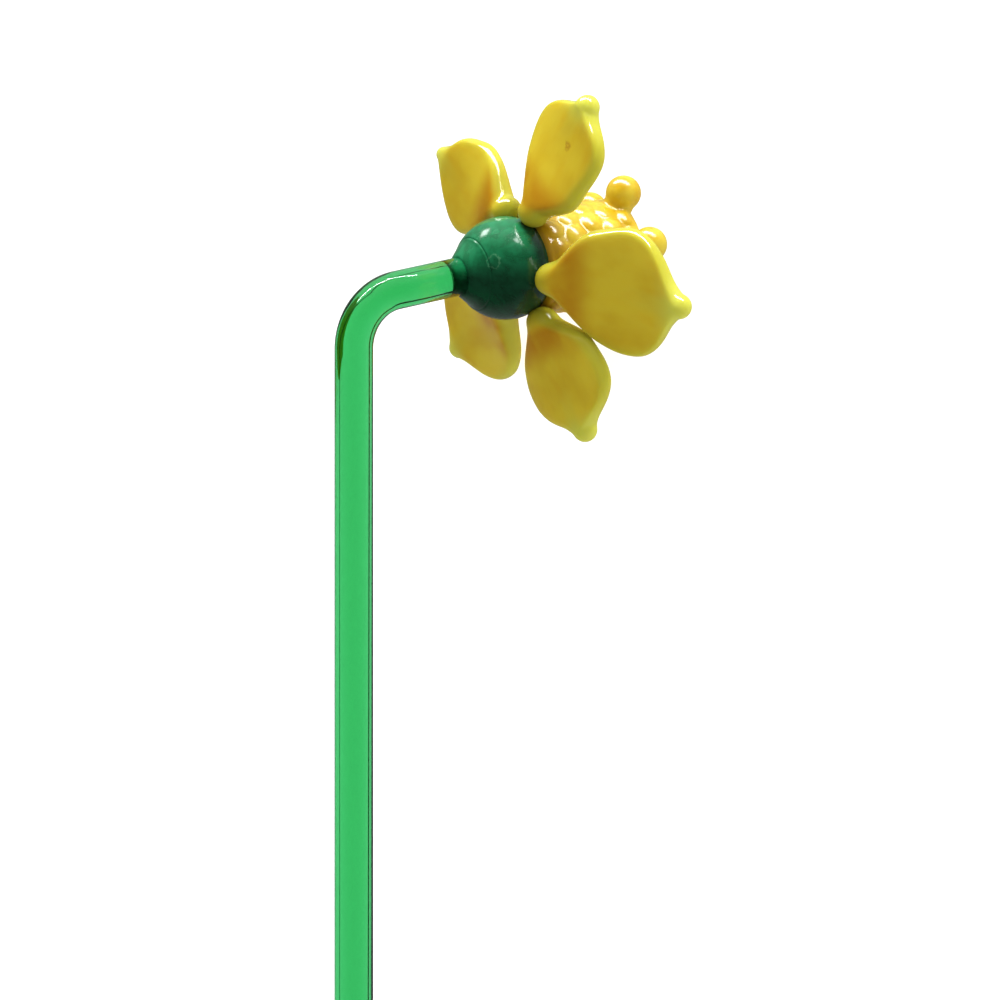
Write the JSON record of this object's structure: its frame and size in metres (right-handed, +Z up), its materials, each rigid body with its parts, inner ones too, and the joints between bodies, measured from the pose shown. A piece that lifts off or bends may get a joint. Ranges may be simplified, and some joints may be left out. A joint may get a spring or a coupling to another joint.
{
  "type": "lampworked glass daffodil flower",
  "caption": "Single daffodil made of glass: green rod stem bent at the top, round green seed pod, flat yellow petals and a knobbed trumpet cup, lying on its side.",
  "frame": {"origin": "middle of the box round the flower, on the surface that it lies on", "axes": "+Y along the stem towards the flower's head, +X to the side that the flower faces, +Z up from the surface"},
  "size_m": [0.065, 0.25, 0.0551],
  "materials": {
    "stem_glass": "transparent emerald green, fire polished",
    "bead_glass": "opaque dark green, fire polished",
    "petal_glass": "cloudy golden yellow with lime edges, fire polished",
    "trumpet_glass": "cloudy deep yellow, fire polished"
  },
  "bodies": {
    "root": {"stem": "stem_glass", "bead": "bead_glass", "trumpet": "trumpet_glass", "petal_1": "petal_glass", "petal_2": "petal_glass", "petal_3": "petal_glass", "petal_4": "petal_glass", "petal_5": "petal_glass"}
  },
  "joints": []
}
